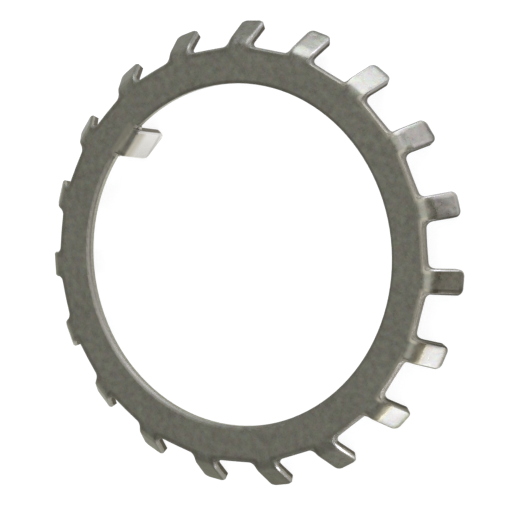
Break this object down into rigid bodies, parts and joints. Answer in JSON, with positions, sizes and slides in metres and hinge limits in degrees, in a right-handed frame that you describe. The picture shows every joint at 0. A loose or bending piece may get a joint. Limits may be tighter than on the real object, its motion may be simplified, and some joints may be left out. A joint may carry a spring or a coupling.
{
  "type": "tab lock washer",
  "caption": "Thin steel ring with a round bore, one long key tab bent down inside the bore and a crown of short locking tabs bent down round the rim.",
  "frame": {"origin": "centre of the bore, on the plane of the flat seating face", "axes": "+Z along the bore axis, out of the seating face, so that every tab points to -Z; +X from the bore axis to the middle of the key tab"},
  "size_m": [0.0888, 0.0888, 0.0093],
  "materials": {
    "steel": "dull rolled steel strip with bare cut edges"
  },
  "bodies": {
    "root": {"tab_lock_washer": "steel"}
  },
  "joints": []
}
